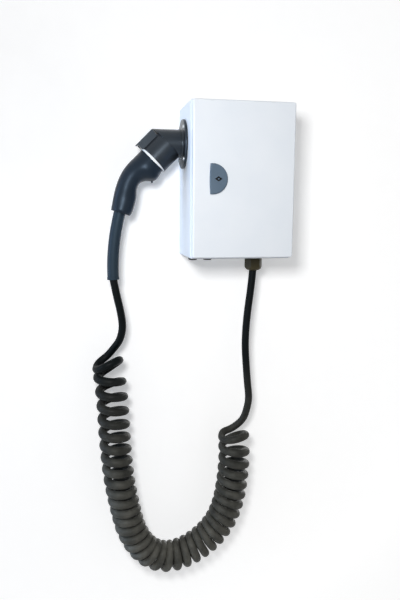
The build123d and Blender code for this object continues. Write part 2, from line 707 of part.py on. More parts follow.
def locknut(x, flats, thread_r):
    """A flat nut inside the box's floor."""
    start = (x, hang_y, floor_z + SHEET)
    return hexagon(flats, start, UP, LOCKNUT_THICK) - rod(thread_r + THREAD_PLAY, start, UP, LOCKNUT_THICK)


def cable_entry():
    """The end of the charging cable's sheath inside the box."""
    rise = floor_z + CABLE_ENTRY_RISE - seal_bottom
    return rod(CABLE_R, (GLAND_X, hang_y, seal_bottom), UP, rise)


def blanking_plug(x):
    start = (x, hang_y, floor_z)
    head = rod(BLANK_HEAD_R, start, DOWN, BLANK_HEAD)
    head = chamfer(head.edges().sort_by(Axis.Z)[0], BLANK_BEVEL)
    return head + rod(BLANK_THREAD_R, start, UP, BLANK_THREAD_LENGTH)


lean = radians(PLUG_ANGLE)
plug_axis = (-cos(lean), 0, -sin(lean))
lug_side = (-sin(lean), 0, cos(lean))
mouth = Plane(origin=(mouth_x, hang_y, mouth_z), x_dir=lug_side, z_dir=plug_axis)


def in_mouth(shape):
    """Place a shape that was drawn with Z out of the holder's mouth and X towards its lug."""
    return mouth.location * shape


def bar_out(radius, low, high):
    """A round bar on the plug's axis between two distances from the mouth."""
    return in_mouth(rod(radius, (0, 0, low), UP, high - low))


def plug_holder():
    """One moulding: a flange, a round stub, and a socket set at an angle with a latch lug on top."""
    socket_back = -SOCKET_DEPTH - SOCKET_FLOOR
    holder = rod(FLANGE_R, (flange_back, hang_y, HOLDER_Z), LEFT, FLANGE_THICK)
    holder = chamfer(holder.edges().sort_by(Axis.X)[0], FLANGE_BEVEL)
    far = MOUTH_REACH + MOUTH_R
    behind_socket = in_mouth(block((-far, far), (-far, far), (socket_back - 3 * far, socket_back)))
    holder += rod(STUB_R, (flange_face, hang_y, HOLDER_Z), LEFT, far) & behind_socket
    rounds = holder.edges().filter_by(GeomType.CIRCLE)
    root = rounds.filter_by(lambda edge: abs(edge.radius - STUB_R) < SAME_SIZE).sort_by(Axis.X)[-1]
    holder = fillet(root, STUB_FILLET)
    holder += bar_out(MOUTH_R, socket_back, 0)
    lug_low, lug_high = MOUTH_R - LUG_HEIGHT / 2, MOUTH_R + LUG_HEIGHT
    holder += in_mouth(
        block((lug_low, lug_high), (-LUG_WIDTH / 2, LUG_WIDTH / 2), (-SOCKET_DEPTH, LUG_OVERHANG))
    )
    holder -= bar_out(MOUTH_R - MOUTH_WALL, -SOCKET_DEPTH, 0)
    holder -= bar_out(COLLAR_R + NOSE_PLAY, 0, LUG_OVERHANG)
    holder += in_mouth(
        block(
            (lug_high - LUG_TOOTH_THICK, lug_high),
            (-LUG_TOOTH_WIDTH / 2, LUG_TOOTH_WIDTH / 2),
            (LUG_OVERHANG, LUG_OVERHANG + LUG_TOOTH_LENGTH),
        )
    )
    slot_low = MOUTH_R + (LUG_HEIGHT - LUG_SLOT_HEIGHT) / 2
    holder -= in_mouth(
        block(
            (slot_low, slot_low + LUG_SLOT_HEIGHT),
            (-LUG_SLOT_WIDTH / 2, LUG_SLOT_WIDTH / 2),
            (LUG_OVERHANG - LUG_SLOT_DEPTH, LUG_OVERHANG),
        )
    )
    behind_floor = in_mouth(block((-far, far), (-far, far), (socket_back - 3 * far, socket_back - STUB_WALL)))
    hollow = rod(STUB_R - STUB_WALL, (flange_back, hang_y, HOLDER_Z), LEFT, far) & behind_floor
    holder -= hollow
    for y, z in holder_screw_spots():
        holder -= rod(HOLDER_SCREW_R + HOLDER_HOLE_PLAY, (flange_back, y, z), LEFT, FLANGE_THICK)
    return holder


def holder_gasket():
    gasket = rod(FLANGE_R - FLANGE_BEVEL, (-side_x, hang_y, HOLDER_Z), LEFT, HOLDER_GASKET)
    gasket -= rod(STUB_R, (-side_x, hang_y, HOLDER_Z), LEFT, HOLDER_GASKET)
    for y, z in holder_screw_spots():
        gasket -= rod(HOLDER_SCREW_R + HOLDER_HOLE_PLAY, (-side_x, y, z), LEFT, HOLDER_GASKET)
    return gasket


def holder_screw(y, z):
    head = rod(HOLDER_SCREW_HEAD_R, (flange_face, y, z), LEFT, HOLDER_SCREW_HEAD)
    head = fillet(head.edges().sort_by(Axis.X)[0], HOLDER_SCREW_HEAD / 2)
    return head + rod(HOLDER_SCREW_R, (flange_face, y, z), RIGHT, HOLDER_SCREW_LENGTH)


def holder_nut(y, z):
    start = (-side_x + SHEET, y, z)
    nut = hexagon(HOLDER_NUT_FLATS, start, RIGHT, HOLDER_NUT_THICK)
    return nut - rod(HOLDER_SCREW_R + THREAD_PLAY, start, RIGHT, HOLDER_NUT_THICK)


def connector_nose():
    """The part that enters the socket: round with a flat towards the lug, with seven contact holes."""
    nose_r = MOUTH_R - MOUTH_WALL - NOSE_PLAY
    nose = rod(nose_r, (0, 0, -NOSE_LENGTH), UP, NOSE_LENGTH)
    nose -= block((NOSE_FLAT, nose_r), (-nose_r, nose_r), (-NOSE_LENGTH, 0))
    nose += rod(SPIGOT_R, (0, 0, 0), UP, SPIGOT_LENGTH)
    for x, y in POWER_CONTACTS:
        nose -= rod(POWER_CONTACT_R, (x, y, -NOSE_LENGTH), UP, CONTACT_DEPTH)
    for x, y in SIGNAL_CONTACTS:
        nose -= rod(SIGNAL_CONTACT_R, (x, y, -NOSE_LENGTH), UP, CONTACT_DEPTH)
    return in_mouth(nose)


def saddle(gap):
    """The round that shapes the collar's lower face and, with a gap, the top of the handle."""
    far = 2 * COLLAR_R
    return in_mouth(rod(SADDLE_R + gap, (SADDLE_SHIFT, far, COLLAR_THICK - SADDLE_R), FRONT, 2 * far))


def connector_collar():
    collar = bar_out(COLLAR_R, 0, COLLAR_THICK) & saddle(0)
    return collar - bar_out(SPIGOT_R + SPIGOT_PLAY, 0, COLLAR_THICK)


def grip_point(out, down):
    return (mouth_x - out, hang_y, mouth_z - down)


grip_end = Vector(*grip_point(GRIP_END[0], GRIP_END[1]))
sleeve_line = ThreePointArc(
    grip_end,
    grip_end - Vector(SLEEVE_MIDDLE[0], 0, SLEEVE_MIDDLE[1]),
    grip_end - Vector(SLEEVE_DROP[0], 0, SLEEVE_DROP[1]),
)


def across(direction):
    """The direction in the hang plane square to a given one."""
    return Vector(direction.Z, 0, -direction.X)


def connector_handle():
    """One moulding that bends from a round barrel at the collar to an oval grip, with a nib underneath."""
    sections = [in_mouth(Pos(0, 0, out) * Circle(BARREL_R)) for out in BARREL_RINGS]
    for out, down, tilt, half_x, half_y in GRIP_SECTIONS:
        direction = Vector(-sin(radians(tilt)), 0, -cos(radians(tilt)))
        plane = Plane(origin=grip_point(out, down), x_dir=across(direction), z_dir=direction)
        sections.append(plane * Ellipse(half_x, half_y))
    direction = sleeve_line % 0
    plane = Plane(origin=grip_end, x_dir=across(direction), z_dir=direction)
    sections.append(plane * Ellipse(GRIP_END[2], GRIP_END[3]))
    nib_x, under = mouth_x - NIB_OUT, mouth_z - BARREL_UNDERSIDE
    nib = block(
        (nib_x - NIB_THICK, nib_x),
        (hang_y - NIB_WIDTH / 2, hang_y + NIB_WIDTH / 2),
        (under - NIB_STANDS, under + NIB_THICK),
    )
    handle = loft(sections) + nib - saddle(SADDLE_GAP)
    return handle - bar_out(SPIGOT_R + SPIGOT_PLAY, 0, SPIGOT_LENGTH + SPIGOT_PLAY)


def kink_sleeve():
    """A smooth rubber sleeve from the grip's end down the cable, with a thicker cuff at its lower end."""
    sleeve = sweep(Plane(origin=sleeve_line @ 0, z_dir=sleeve_line % 0) * Circle(SLEEVE_R), path=sleeve_line)
    return sleeve + rod(SLEEVE_CUFF_R, sleeve_line @ 1, -(sleeve_line % 1), SLEEVE_CUFF_LENGTH)


def cord_tube(name, points, radius):
    """A tube along straight runs joined by the largest tangent arcs that the runs allow."""
    line = [Vector(x, hang_y, z) for x, z in points]
    radii = []
    for before, here, after in zip(line, line[1:], line[2:]):
        shorter = min((here - before).length, (after - here).length)
        turn = (here - before).get_angle(after - here)
        radii.append(BEND_SHARE * shorter / tan(radians(turn / 2)))
    path = FilletPolyline(*line, radius=radii)
    tube = sweep(Plane(origin=path @ 0, z_dir=path % 0) * Circle(radius), path=path)
    section = pi * radius**2
    print(name, "radii", [round(r) for r in radii], "length", round(path.length))
    print(name, "volume over section times length", round(tube.volume / (section * path.length), 4))
    return tube


def cable_upper(sleeve, coil):
    """The free run from the kink sleeve to the top of the coil, ending flat on both."""
    start = sleeve_line @ 1
    first = Vector(UPPER_ROUTE[0][0], hang_y, UPPER_ROUTE[0][1])
    inside = start + (start - first).normalized() * ROUTE_OVERLAP
    tube = cord_tube("cable_upper", ((inside.X, inside.Z), *UPPER_ROUTE), CABLE_R)
    return tube - sleeve - coil


def cable_lower(coil):
    """The free run from the gland to the coil's other end."""
    start = (GLAND_X, seal_bottom + ROUTE_OVERLAP)
    tube = cord_tube("cable_lower", (start, *LOWER_ROUTE), CABLE_R)
    seat = rod(2 * CABLE_R, (GLAND_X, hang_y, seal_bottom), UP, 2 * ROUTE_OVERLAP)
    return tube - seat - coil


def write(name, *solids):
    """Write one node: a single solid, or a group of separate ones."""
    shape = solids[0] if len(solids) == 1 else Compound(children=list(solids))
    export_step(shape, f"parts/{name}.step")


os.makedirs("parts", exist_ok=True)
hinge_heights = (-HINGE_SPACING / 2, HINGE_SPACING / 2)
sleeve = kink_sleeve()
coil = cord_tube("cable_coil", COIL_ROUTE, COIL_R)

write("enclosure_body", enclosure_body())
write("mounting_plate", mounting_plate())
write("plate_studs", *[plate_stud(x, z) for x, z in corners(STUDS_ACROSS, STUDS_UP)])
write("plate_nuts", *[plate_nut(x, z) for x, z in corners(STUDS_ACROSS, STUDS_UP)])
write("earth_stud", earth_stud())
write("earth_nut", earth_nut())
write("din_rail_upper", din_rail(breaker_z))
write("din_rail_lower", din_rail(controller_z))
write("rail_screws", *[rail_screw(x, z) for x, z in rail_screw_spots()])
write("rccb_body", rccb_body())
write("rccb_lever", rccb_lever())
write("rccb_test_button", rccb_test_button())
write("contactor", contactor())
write("charge_controller", charge_controller())
write("line_terminals", *[terminal_block(place) for place in range(LINE_TERMINALS)])
write("neutral_terminal", terminal_block(LINE_TERMINALS))
write("earth_terminal", terminal_block(LINE_TERMINALS + 1))
write("end_stops", *end_stops())
write("gland_body", gland_body())
write("gland_nut", gland_nut())
write("gland_seal", gland_seal())
write("gland_locknut", locknut(GLAND_X, GLAND_FLATS, GLAND_THREAD_R))
write("cable_entry", cable_entry())
write("blanking_plugs", *[blanking_plug(x) for x in BLANK_X])
write("blanking_locknuts", *[locknut(x, BLANK_NUT_FLATS, BLANK_THREAD_R) for x in BLANK_X])
write("plug_holder", plug_holder())
write("holder_gasket", holder_gasket())
write("holder_screws", *[holder_screw(y, z) for y, z in holder_screw_spots()])
write("holder_nuts", *[holder_nut(y, z) for y, z in holder_screw_spots()])
write("connector_nose", connector_nose())
write("connector_collar", connector_collar())
write("connector_handle", connector_handle())
write("kink_sleeve", sleeve)
write("cable_upper", cable_upper(sleeve, coil))
write("cable_coil", coil)
write("cable_lower", cable_lower(coil))
write("hinge_brackets", *[hinge_bracket(z) for z in hinge_heights])
write("hinge_pins", *[hinge_pin(z) for z in hinge_heights])
write("door_panel", door_panel())
write("door_gasket", door_gasket())
write("hinge_leaves", *[hinge_leaf(z) for z in hinge_heights])
write("lock_housing", lock_housing())
write("lock_nut", lock_nut())
write("lock_core", lock_core())
write("lock_cam", lock_cam())
write("cam_screw", cam_screw())
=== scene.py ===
import math

import bpy
from mathutils import Matrix, Vector


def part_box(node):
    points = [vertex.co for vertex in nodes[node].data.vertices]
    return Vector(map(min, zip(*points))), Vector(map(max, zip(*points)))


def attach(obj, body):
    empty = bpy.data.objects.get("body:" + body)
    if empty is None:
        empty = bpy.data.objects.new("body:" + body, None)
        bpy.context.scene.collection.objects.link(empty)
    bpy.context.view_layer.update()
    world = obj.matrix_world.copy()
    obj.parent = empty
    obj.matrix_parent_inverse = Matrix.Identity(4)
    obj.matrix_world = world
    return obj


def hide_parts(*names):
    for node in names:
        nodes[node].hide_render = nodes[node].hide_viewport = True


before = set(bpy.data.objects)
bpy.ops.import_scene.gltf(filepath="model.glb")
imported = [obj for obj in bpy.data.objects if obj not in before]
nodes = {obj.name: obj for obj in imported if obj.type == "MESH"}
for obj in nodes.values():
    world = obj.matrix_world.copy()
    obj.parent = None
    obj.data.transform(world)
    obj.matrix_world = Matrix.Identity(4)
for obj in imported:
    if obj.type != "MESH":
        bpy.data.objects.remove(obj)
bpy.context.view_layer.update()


# Enclosure body and door skin.
# Folded sheet steel, degreased and sprayed with a white powder that melts into one even coat in the oven.
# The coat is satin, a little blue, and has the faint orange peel that powder leaves on flat sheet.
MM = 0.001
# plain noise keeps to the middle of its range, so this band of it is stretched from one colour to the other
NOISE_BAND = (0.3, 0.7)


def linear(hex_colour):
    """An sRGB hex colour as the linear RGBA that a shader socket takes."""
    channels = [int(hex_colour[i : i + 2], 16) / 255 for i in (1, 3, 5)]
    return tuple(c / 12.92 if c <= 0.04045 else ((c + 0.055) / 1.055) ** 2.4 for c in channels) + (1.0,)


def per_metre(size_mm):
    """The scale of a pattern whose features are that many millimetres across."""
    return 1 / (size_mm * MM)


def add_node(owner, kind, links=(), **settings):
    """Add a node to a material or world. Settings are its properties or sockets, links (from, to) sockets."""
    added = owner.node_tree.nodes.new(kind)
    for name, value in settings.items():
        if name in added.bl_rna.properties:
            setattr(added, name, value)
        else:
            added.inputs[name.replace("_", " ").title()].default_value = value
    for source, target in links:
        owner.node_tree.links.new(source, added.inputs[target])
    return added


def surface(name, colours, roughness, grain_mm, depth_mm, edge_mm=0.4, clouds_mm=35, **sockets):
    """A material with two close colours and roughnesses in soft clouds, a fine grain and softened edges."""
    material = bpy.data.materials.new(name)
    material.use_nodes = True
    shader = material.node_tree.nodes["Principled BSDF"]
    for socket, value in sockets.items():
        shader.inputs[socket.replace("_", " ").title().replace("Ior", "IOR")].default_value = value
    place = add_node(material, "ShaderNodeTexCoord").outputs["Object"]
    clouds = add_node(material, "ShaderNodeTexNoise", [(place, 0)], scale=per_metre(clouds_mm), detail=4.0)
    share = add_node(
        material, "ShaderNodeMapRange", [(clouds.outputs[0], 0)], from_min=NOISE_BAND[0],
        from_max=NOISE_BAND[1],
    )
    colour = add_node(material, "ShaderNodeMix", [(share.outputs[0], 0)], data_type="RGBA")
    colour.inputs[6].default_value = linear(colours[0])
    colour.inputs[7].default_value = linear(colours[1])
    sheen = add_node(
        material, "ShaderNodeMapRange", [(share.outputs[0], 0)], to_min=roughness[0], to_max=roughness[1]
    )
    grain = add_node(material, "ShaderNodeTexNoise", [(place, 0)], scale=per_metre(grain_mm), detail=2.0)
    edge = add_node(material, "ShaderNodeBevel", samples=6, radius=edge_mm * MM)
    relief = add_node(
        material, "ShaderNodeBump", [(grain.outputs[0], "Height"), (edge.outputs[0], "Normal")],
        distance=depth_mm * MM,
    )
    links = material.node_tree.links
    links.new(colour.outputs[2], shader.inputs["Base Color"])
    links.new(sheen.outputs[0], shader.inputs["Roughness"])
    links.new(relief.outputs[0], shader.inputs["Normal"])
    return material


def dress(material, *names):
    """Give CAD nodes this material in place of the plain one that they come with."""
    for name in names:
        mesh = nodes[name].data
        mesh.materials.clear()
        mesh.materials.append(material)


# the two whites stay so close that the coat looks even, and the peel only softens what it reflects
powder_coat = surface(
    "white_powder_coat_on_steel", ("#e4eaf1", "#e8edf3"), (0.33, 0.40), grain_mm=1.8, depth_mm=0.03,
    edge_mm=0.6, clouds_mm=60,
)
dress(powder_coat, "enclosure_body", "door_panel")


# Seals: the door's foam strip, the rubber ring under the holder's flange and the gland's sealing sleeve.
# The strip is poured polyurethane foam with a pored skin, the others are moulded rubber.
# The strip sticks to the door and the body's lip presses into it, the others are clamped.

# open pores swallow the light, so the strip is a dull, uneven black
foam = surface(
    "black_polyurethane_foam", ("#1b1b1c", "#262627"), (0.85, 0.95), grain_mm=1.2, depth_mm=0.35, clouds_mm=9,
)
# smooth but matt, with a soft grey sheen at most
rubber = surface("black_seal_rubber", ("#151515", "#1c1c1c"), (0.62, 0.74), grain_mm=0.8, depth_mm=0.03)
dress(foam, "door_gasket")
dress(rubber, "holder_gasket", "gland_seal")


# Small steel: studs, nuts, screws, hinges, the lock's cam and its nut.
# Cold-formed steel with a thin bright zinc plating, a little blue from its passivation.
# The studs and hinges are welded on, the rest is screwed.

# bright metal, in which the plating bath leaves faint clouds
zinc = surface(
    "zinc_plated_steel", ("#b4bac0", "#c9cdd0"), (0.24, 0.36), grain_mm=0.9, depth_mm=0.01, clouds_mm=6,
    metallic=1.0,
)
dress(
    zinc, "plate_studs", "plate_nuts", "earth_stud", "earth_nut", "rail_screws", "holder_screws",
    "holder_nuts", "hinge_brackets", "hinge_pins", "hinge_leaves", "lock_nut", "lock_cam", "cam_screw",
)


# Mounting plate and its two rails.
# The plate is hot-dip galvanised sheet, which shows zinc crystals as a patchwork of greys.
# It sits on the welded studs, and the rolled rails are screwed to it.
CRYSTAL_MM = 8
CRYSTAL_SHADES = (0.78, 1.2)
ZINC_SATURATION = 0.6
# each crystal reflects at its own angle, so the flat sheet shows lighter and darker patches
galvanised = surface(
    "galvanised_sheet", ("#a1a7ab", "#adb2b6"), (0.34, 0.48), grain_mm=2.5, depth_mm=0.01, clouds_mm=18,
    metallic=1.0,
)
shader = galvanised.node_tree.nodes["Principled BSDF"]
place = add_node(galvanised, "ShaderNodeTexCoord").outputs["Object"]
crystal = add_node(galvanised, "ShaderNodeTexVoronoi", [(place, "Vector")], scale=per_metre(CRYSTAL_MM))
sheet_colour = shader.inputs["Base Color"].links[0].from_socket
shade = add_node(galvanised, "ShaderNodeHueSaturation", [(sheet_colour, "Color")], saturation=ZINC_SATURATION)
grey = add_node(
    galvanised, "ShaderNodeMapRange", [(crystal.outputs["Color"], "Value")], to_min=CRYSTAL_SHADES[0],
    to_max=CRYSTAL_SHADES[1],
)
galvanised.node_tree.links.new(grey.outputs[0], shade.inputs["Value"])
galvanised.node_tree.links.new(shade.outputs[0], shader.inputs["Base Color"])
# rolling leaves the strip smoother and more even than the plate
rolled_zinc = surface(
    "rolled_zinc_plated_strip", ("#aeb4b9", "#bdc2c6"), (0.28, 0.38), grain_mm=1.0, depth_mm=0.01,
    metallic=1.0,
)
dress(galvanised, "mounting_plate")
dress(rolled_zinc, "din_rail_upper", "din_rail_lower")


# Plug holder on the left side.
# One moulding of black glass-filled polyamide: flange, stub and a socket set at an angle, with a lug on top.
# Four screws through the flange hold it to the enclosure's side.

# a smooth mould gives near black with broad, clear highlights
black_polyamide = surface(
    "black_glass_filled_polyamide", ("#16191d", "#1c1f23"), (0.26, 0.36), grain_mm=0.9, depth_mm=0.02,
    edge_mm=0.8, specular_ior_level=0.6, specular_tint=linear("#c6d8ea"),
)
dress(black_polyamide, "plug_holder")


# Charging connector: nose, white collar and handle.
# The handle is moulded in blue-black polyamide with a fine satin texture, the collar in gloss white.
# The nose is in the holder's socket, and the collar closes the gap between socket and handle.

# the mould's fine texture spreads the highlights, and the pigment gives them a blue cast
handle_polyamide = surface(
    "blue_black_polyamide", ("#111820", "#171e27"), (0.36, 0.46), grain_mm=1.1, depth_mm=0.025, edge_mm=1.2,
    specular_ior_level=0.36, specular_tint=linear("#b9d3ee"),
)
# a polished mould gives a plain white with a narrow, bright highlight
gloss_white = surface(
    "gloss_white_plastic", ("#e9eef2", "#eef2f5"), (0.16, 0.22), grain_mm=2.0, depth_mm=0.008, edge_mm=0.6,
)
dress(handle_polyamide, "connector_handle", "connector_nose")
dress(gloss_white, "connector_collar")


# Lock: the half-moon plate and its core.
# Both are moulded in one blue-grey plastic with a satin face, and the recess for the key is painted near
# black as shade.
# The plate's barrel goes through the door and a nut holds it from behind.

# satin and even, a blue grey with little gloss
LOCK_COLOURS = ("#526475", "#5a6c7d")
lock_grey = surface(
    "blue_grey_lock_plastic", LOCK_COLOURS, (0.34, 0.44), grain_mm=0.8, depth_mm=0.015,
    specular_ior_level=0.3,
)
dress(lock_grey, "lock_housing")
# the core's face looks like the plate, and what lies behind it falls off to near black, a painted shade in
# the recess
RECESS_DARKENS = (0.4 * MM, 1.6 * MM)
RECESS_SHADE = "#06090c"
core_grey = surface(
    "blue_grey_lock_core", LOCK_COLOURS, (0.34, 0.44), grain_mm=0.8, depth_mm=0.015,
    specular_ior_level=0.3,
)
shader = core_grey.node_tree.nodes["Principled BSDF"]
core_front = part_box("lock_core")[0][1]
place = add_node(core_grey, "ShaderNodeTexCoord").outputs["Object"]
depth = add_node(core_grey, "ShaderNodeSeparateXYZ", [(place, 0)]).outputs["Y"]
deep = add_node(
    core_grey, "ShaderNodeMapRange", [(depth, "Value")], from_min=core_front + RECESS_DARKENS[0],
    from_max=core_front + RECESS_DARKENS[1],
)
face_colour = shader.inputs["Base Color"].links[0].from_socket
# painted shade: the colour falls off to near black with depth into the key's recess
recess = add_node(core_grey, "ShaderNodeMix", [(deep.outputs[0], 0), (face_colour, 6)], data_type="RGBA")
recess.inputs[7].default_value = linear(RECESS_SHADE)
core_grey.node_tree.links.new(recess.outputs[2], shader.inputs["Base Color"])
dress(core_grey, "lock_core")


# Underside: the cable gland with its lock nut, and two blanking plugs.
# The gland is olive-grey polyamide, matt from its mould, the plugs are the same plastic in black.
# Their threads go through the floor and lock nuts hold them from inside.

# rough from its mould, a flat olive with hardly any gloss
olive_polyamide = surface(
    "olive_grey_polyamide", ("#2c2711", "#37311a"), (0.48, 0.60), grain_mm=1.0, depth_mm=0.03,
    specular_ior_level=0.25,
)
# plain black with a weak sheen
plug_polyamide = surface("black_polyamide", ("#141415", "#1b1b1d"), (0.44, 0.56), grain_mm=0.9, depth_mm=0.02)
dress(olive_polyamide, "gland_body", "gland_nut", "gland_locknut")
dress(plug_polyamide, "blanking_plugs", "blanking_locknuts")


# Devices on the rails: breaker, contactor, charge controller, terminals and end stops.
# Their cases are light grey moulded plastic, the terminals are coloured for line, neutral and earth.
# Each clips on its rail, and end stops keep the rows together.

# a finely textured mould gives an even pale grey without gloss
device_grey = surface(
    "light_grey_device_plastic", ("#cdd0ce", "#d4d6d4"), (0.46, 0.56), grain_mm=0.8, depth_mm=0.02,
)
dress(device_grey, "rccb_body", "contactor", "charge_controller")
# the lever and the button, which fingers touch, are polished, and the terminals are matt
for name, colours, roughness, cad_nodes in (
    ("dark_lever_plastic", ("#1c2229", "#242b33"), (0.26, 0.34), ["rccb_lever"]),
    ("yellow_button_plastic", ("#d3a019", "#dba824"), (0.28, 0.36), ["rccb_test_button"]),
    ("grey_terminal_polyamide", ("#888b8c", "#929596"), (0.46, 0.56), ["line_terminals", "end_stops"]),
    ("blue_terminal_polyamide", ("#1d4f98", "#2559a4"), (0.46, 0.56), ["neutral_terminal"]),
    ("green_terminal_polyamide", ("#4d8c22", "#57962b"), (0.46, 0.56), ["earth_terminal"]),
):
    dress(surface(name, colours, roughness, grain_mm=0.8, depth_mm=0.02), *cad_nodes)


# Terminal screws of the devices and terminals.
# Zinc-plated steel heads with a slot, which lie at the bottom of the wells in the cases.
# Each one clamps a wire inside its case, and they stop at whatever angle the wire asked for.
HEAD_HIGH = 1.2 * MM
SLOT_WIDE = 0.8 * MM
HEAD_POINTS = 9
# how far a slot is turned for each face that the mesh already has, in radians, so that neighbours differ
TURN_BETWEEN = 2.4
# the wells' radius, their depth behind the front and their distance from the upper and lower edge
DEVICE_WELL = (2.8 * MM, 22.0 * MM, 10.25 * MM)
TERMINAL_WELL = (2.2 * MM, 21.0 * MM, 6.0 * MM)
# the case is this high, apart from the clip at its foot
DEVICE_HIGH = 86.0 * MM
TERMINAL_HIGH = 46.0 * MM


def slotted_head(place, radius, turn, corners, faces):
    """Add a screw head in two half discs beside its slot, and the disc at the bottom of the slot."""
    lean = math.asin(SLOT_WIDE / 2 / radius)
    half_step = (math.pi - 2 * lean) / (HEAD_POINTS - 1)
    round_step = 2 * math.pi / HEAD_POINTS
    for start, step, high in (
        (lean, half_step, HEAD_HIGH),
        (math.pi + lean, half_step, HEAD_HIGH),
        (0, round_step, HEAD_HIGH / 2),
    ):
        first = len(corners)
        for depth in (high, 0):
            for i in range(HEAD_POINTS):
                angle = start + step * i + turn
                x, z = radius * math.cos(angle), radius * math.sin(angle)
                corners.append((place[0] + x, place[1] - depth, place[2] + z))
        faces.append([first + i for i in range(HEAD_POINTS)])
        for i in range(HEAD_POINTS):
            after = (i + 1) % HEAD_POINTS
            faces.append((first + i, first + HEAD_POINTS + i, first + HEAD_POINTS + after, first + after))


corners, faces = [], []
for name, count, well, high in (
    ("rccb_body", 4, DEVICE_WELL, DEVICE_HIGH),
    ("contactor", 2, DEVICE_WELL, DEVICE_HIGH),
    ("charge_controller", 8, DEVICE_WELL, DEVICE_HIGH),
    ("line_terminals", 3, TERMINAL_WELL, TERMINAL_HIGH),
    ("neutral_terminal", 1, TERMINAL_WELL, TERMINAL_HIGH),
    ("earth_terminal", 1, TERMINAL_WELL, TERMINAL_HIGH),
):
    low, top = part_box(name)
    radius, deep, from_edge = well
    for i in range(count):
        x = low[0] + (top[0] - low[0]) * (i + 0.5) / count
        for z in (top[2] - from_edge, top[2] - high + from_edge):
            slotted_head((x, low[1] + deep, z), radius, TURN_BETWEEN * len(faces), corners, faces)
screw_mesh = bpy.data.meshes.new("terminal_screws")
screw_mesh.from_pydata(corners, [], faces)
screw_mesh.materials.append(zinc)
terminal_screws = bpy.data.objects.new("terminal_screws", screw_mesh)
bpy.context.scene.collection.objects.link(terminal_screws)
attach(terminal_screws, "root")


# Charging cable.
# Four power cores and two signal cores in a black polyurethane sheath, wound into a spiral that springs back.
# It leaves the gland, hangs in a U under its own weight and comes up into the connector's kink sleeve.
CABLE_D = 16.0 * MM
HANG_Y = -62.0 * MM
# points across and up in millimetres, in the plane that the cable hangs in
LOWER_ROUTE = (
    (48.0, -177.5), (44.0, -222.0), (36.5, -278.0), (33.0, -336.0), (35.0, -374.0), (40.5, -436.0),
    (45.0, -466.0), (42.0, -494.0), (36.5, -522.0), (12.0, -543.0),
)
COIL_ROUTE = (
    (10.0, -540.0), (11.0, -568.0), (12.0, -606.0), (8.0, -654.0), (0.0, -704.0), (-18.0, -750.0),
    (-50.0, -787.0), (-95.0, -815.0), (-144.0, -824.0), (-187.0, -803.0), (-217.0, -753.0),
    (-230.0, -696.0), (-241.0, -638.0), (-247.0, -580.0), (-250.5, -520.0), (-253.0, -460.0),
    (-258.0, -405.0), (-264.0, -363.0),
)
UPPER_ROUTE = (
    (-262.0, -364.0), (-248.0, -346.0), (-236.0, -328.0), (-229.5, -299.0), (-234.5, -264.0),
    (-243.0, -228.0), (-248.2, -198.6),
)
# how far behind the hang plane the runs pass where they join the spiral, counted from its two ends
JOIN_BEHIND = [b * MM for b in (24, 18, 8, 2)]
# the spiral, from its gland end to its connector end: room for each turn along the axis and mean radius
TURN_SPACING = [s * MM for s in (35, 23.5, 20.5, 19, 20, 20, 21, 24.5, 28, 31, 38.5)]
COIL_RADIUS = [r * MM for r in (26.3, 26.8, 25.6, 24.1, 24.9, 25.8, 25.3)]
TURNS = 36.5
# how much thicker the sheath is where it is wound, apart from the inside of the bend, where the turns press
WOUND_SWELLS = 0.14
POINTS_A_TURN = 16
# points by which each end of the spiral bends on round to its back, where the straight runs meet it
ROUND_THE_BACK = 2
# how far the first and the last turn lean, and over what length of the axis they straighten
END_LEAN = (12.5 * MM, 19.5 * MM)
LEAN_FADES = 40 * MM


def hang(points):
    """Route points as vectors in metres, in the plane that the cable hangs in."""
    return [Vector((x * MM, HANG_Y, z * MM)) for x, z in points]


def nurbs_curve(name, points):
    """A curve of one open NURBS spline of order 3 with these control points."""
    curve = bpy.data.curves.new(name, "CURVE")
    curve.dimensions = "3D"
    spline = curve.splines.new("NURBS")
    spline.points.add(len(points) - 1)
    for control, point in zip(spline.points, points):
        control.co = (*point, 1.0)
    spline.order_u = 3
    spline.use_endpoint_u = True
    return curve


def along(values, share):
    """The value at a share from 0 to 1 of a list of evenly spaced values."""
    at = min(share, 0.999999) * (len(values) - 1)
    low = int(at)
    return values[low] + (values[low + 1] - values[low]) * (at - low)


def spiral(axis_line):
    """Points of a left-hand helix round a line, which starts on the inside of its bend."""
    steps = [(b - a).length for a, b in zip(axis_line, axis_line[1:])]
    total = sum(steps)
    distance = 0.0
    stations = []
    turned = 0.0
    for (a, b), step in zip(zip(axis_line, axis_line[1:]), steps):
        stations.append((turned, distance, a, (b - a).normalized()))
        turned += step / along(TURN_SPACING, (distance + step / 2) / total)
        distance += step
    stations.append((turned, distance, axis_line[-1], stations[-1][3]))
    front = Vector((0, -1, 0))
    points = []
    here = 0
    count = round(TURNS * POINTS_A_TURN)
    # control points stand a little outside the line that a quadratic spline draws round them
    outside = 1 / (0.75 + 0.25 * math.cos(2 * math.pi / POINTS_A_TURN))
    for i in range(-ROUND_THE_BACK, count + ROUND_THE_BACK + 1):
        wanted = turned * i / count
        while here < len(stations) - 2 and stations[here + 1][0] < wanted:
            here += 1
        low, high = stations[here], stations[here + 1]
        part = (wanted - low[0]) / max(high[0] - low[0], 1e-9)
        middle = low[2].lerp(high[2], part)
        forward = low[3].lerp(high[3], part).normalized()
        far = low[1] + (high[1] - low[1]) * part
        inside = forward.cross(front)
        angle = 2 * math.pi * i / POINTS_A_TURN
        radius = along(COIL_RADIUS, far / total) * outside
        lean = END_LEAN[0] * max(0, 1 - far / LEAN_FADES)
        lean += END_LEAN[1] * max(0, 1 - (total - far) / LEAN_FADES)
        across = radius * (inside * math.cos(angle) + front * math.sin(angle))
        points.append(middle + across + forward * lean * math.cos(angle))
    return points


